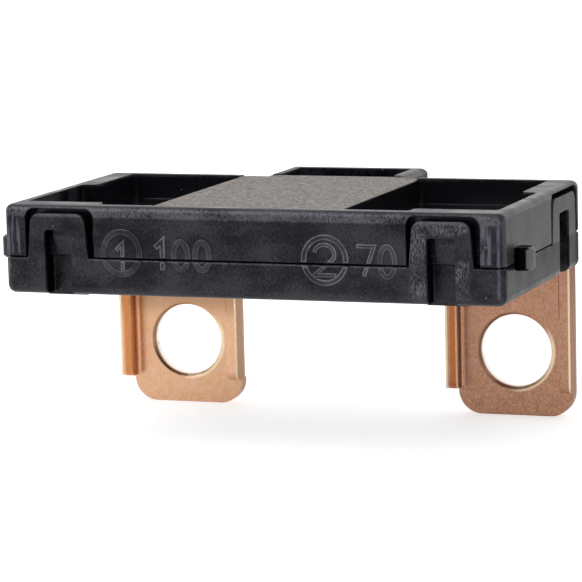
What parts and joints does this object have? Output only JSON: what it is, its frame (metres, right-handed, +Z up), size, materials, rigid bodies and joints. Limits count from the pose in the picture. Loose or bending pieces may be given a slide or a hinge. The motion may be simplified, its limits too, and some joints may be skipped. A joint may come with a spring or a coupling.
{
  "type": "bolt-down fuse block",
  "caption": "Flat black T-shaped fuse block in snap-fitted housings, with flanged copper bolt tabs hanging behind it and a common feed blade under its nose.",
  "frame": {"origin": "midway between the two bolt holes, on the rear contact face of the bolt tabs", "axes": "+X along the block to the right as seen from its marked front, +Y from the front to the rear along the bolts, +Z up from the tabs to the cover"},
  "size_m": [0.051, 0.0332, 0.0231],
  "materials": {
    "black_plastic": "moulded black polyamide, satin, with a fine grain",
    "left_copper": "bare stamped copper, peach, finely brushed",
    "right_copper": "bare stamped copper, browner, with a mottled fine grain",
    "link_alloy": "thin stamped copper alloy, bright",
    "tin": "solidified tin, dull"
  },
  "bodies": {
    "root": {"base_housing": "black_plastic", "top_cover": "black_plastic", "left_terminal": "left_copper", "right_terminal": "right_copper", "feed_terminal": "left_copper", "fuse_link_100": "link_alloy", "fuse_link_70": "link_alloy", "tin_bead_100": "tin", "tin_bead_70": "tin"}
  },
  "joints": []
}
